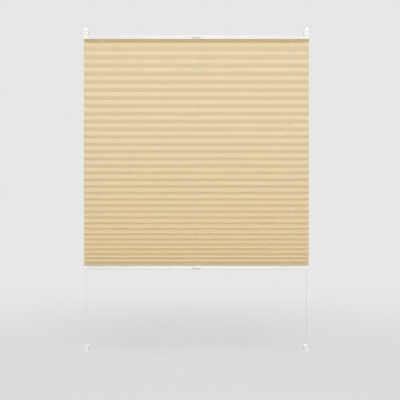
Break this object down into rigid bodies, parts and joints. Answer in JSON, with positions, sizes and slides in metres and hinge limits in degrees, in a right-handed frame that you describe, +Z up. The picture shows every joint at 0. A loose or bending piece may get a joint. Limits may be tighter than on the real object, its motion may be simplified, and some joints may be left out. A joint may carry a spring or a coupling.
{
  "type": "pleated blind",
  "caption": "Clamp-on pleated fabric blind with a sliding top rail and bottom rail on cords that are stretched between sash clamps.",
  "frame": {"origin": "middle of the sash's top edge, on the room side face where the clamps' feet seat", "axes": "+X along the rails to the right as seen from the room, +Y into the window, +Z up"},
  "size_m": [0.85, 0.0563, 1.226],
  "materials": {
    "rail_coating": "extruded aluminium with a white satin powder coat",
    "cap_plastic": "white moulded plastic",
    "grip_plastic": "white moulded plastic, slightly glossy",
    "strip_plastic": "extruded plastic",
    "guide_plastic": "moulded plastic",
    "pleat_fabric": "cream woven polyester with set pleats",
    "cord_fibre": "braided polyester cord",
    "clamp_plastic": "white moulded plastic",
    "hook_steel": "white coated steel strip",
    "pad_rubber": "grey rubber",
    "screw_steel": "plated steel"
  },
  "bodies": {
    "root": {"clamp_body_top_left": "clamp_plastic", "clamp_body_top_right": "clamp_plastic", "clamp_body_bottom_left": "clamp_plastic", "clamp_body_bottom_right": "clamp_plastic", "cord_shoe_top_left": "clamp_plastic", "cord_shoe_top_right": "clamp_plastic", "cord_shoe_bottom_left": "clamp_plastic", "cord_shoe_bottom_right": "clamp_plastic", "pleated_fabric": "pleat_fabric", "cord_left": "cord_fibre", "cord_right": "cord_fibre", "cord_middle": "cord_fibre"},
    "top_rail": {"top_rail": "rail_coating", "rail_cap_top_left": "cap_plastic", "rail_cap_top_right": "cap_plastic", "top_grip": "grip_plastic", "top_fabric_strip": "strip_plastic", "top_cord_guide_left": "guide_plastic", "top_cord_guide_middle": "guide_plastic", "top_cord_guide_right": "guide_plastic"},
    "bottom_rail": {"bottom_rail": "rail_coating", "rail_cap_bottom_left": "cap_plastic", "rail_cap_bottom_right": "cap_plastic", "bottom_grip": "grip_plastic", "bottom_fabric_strip": "strip_plastic", "bottom_cord_guide_left": "guide_plastic", "bottom_cord_guide_middle": "guide_plastic", "bottom_cord_guide_right": "guide_plastic"},
    "hook_top_left": {"clamp_hook_top_left": "hook_steel", "clamp_pad_top_left": "pad_rubber"},
    "screw_top_left": {"clamp_screw_top_left": "screw_steel"},
    "hook_top_right": {"clamp_hook_top_right": "hook_steel", "clamp_pad_top_right": "pad_rubber"},
    "screw_top_right": {"clamp_screw_top_right": "screw_steel"},
    "hook_bottom_left": {"clamp_hook_bottom_left": "hook_steel", "clamp_pad_bottom_left": "pad_rubber"},
    "screw_bottom_left": {"clamp_screw_bottom_left": "screw_steel"},
    "hook_bottom_right": {"clamp_hook_bottom_right": "hook_steel", "clamp_pad_bottom_right": "pad_rubber"},
    "screw_bottom_right": {"clamp_screw_bottom_right": "screw_steel"}
  },
  "joints": [
    {"name": "top_rail_slide", "type": "slide", "parent": "root", "child": "top_rail", "axis": [0, 0, 1], "range_m": [-0.28, 0], "deforming": ["pleated_fabric", "cord_left", "cord_right", "cord_middle"]},
    {"name": "bottom_rail_slide", "type": "slide", "parent": "root", "child": "bottom_rail", "axis": [0, 0, 1], "range_m": [-0.285, 0.5], "deforming": ["pleated_fabric", "cord_left", "cord_right", "cord_middle"]},
    {"name": "screw_turn_top_left", "type": "hinge", "parent": "root", "child": "screw_top_left", "pos_m": [-0.414, 0, 0.007], "axis": [0, 1, 0], "range_deg": [-1440, 2340]},
    {"name": "hook_slide_top_left", "type": "slide", "parent": "root", "child": "hook_top_left", "axis": [0, 1, 0], "range_m": [-0.005, 0.003]},
    {"name": "screw_turn_top_right", "type": "hinge", "parent": "root", "child": "screw_top_right", "pos_m": [0.414, 0, 0.007], "axis": [0, 1, 0], "range_deg": [-1440, 2340]},
    {"name": "hook_slide_top_right", "type": "slide", "parent": "root", "child": "hook_top_right", "axis": [0, 1, 0], "range_m": [-0.005, 0.003]},
    {"name": "screw_turn_bottom_left", "type": "hinge", "parent": "root", "child": "screw_bottom_left", "pos_m": [-0.414, 0, -1.201], "axis": [0, 1, 0], "range_deg": [-1440, 2340]},
    {"name": "hook_slide_bottom_left", "type": "slide", "parent": "root", "child": "hook_bottom_left", "axis": [0, 1, 0], "range_m": [-0.005, 0.003]},
    {"name": "screw_turn_bottom_right", "type": "hinge", "parent": "root", "child": "screw_bottom_right", "pos_m": [0.414, 0, -1.201], "axis": [0, 1, 0], "range_deg": [-1440, 2340]},
    {"name": "hook_slide_bottom_right", "type": "slide", "parent": "root", "child": "hook_bottom_right", "axis": [0, 1, 0], "range_m": [-0.005, 0.003]}
  ],
  "couplings": [
    {"joint": "screw_turn_top_left", "follows": "hook_slide_top_left", "rad_per_m": -7854},
    {"joint": "screw_turn_top_right", "follows": "hook_slide_top_right", "rad_per_m": -7854},
    {"joint": "screw_turn_bottom_left", "follows": "hook_slide_bottom_left", "rad_per_m": -7854},
    {"joint": "screw_turn_bottom_right", "follows": "hook_slide_bottom_right", "rad_per_m": -7854}
  ]
}
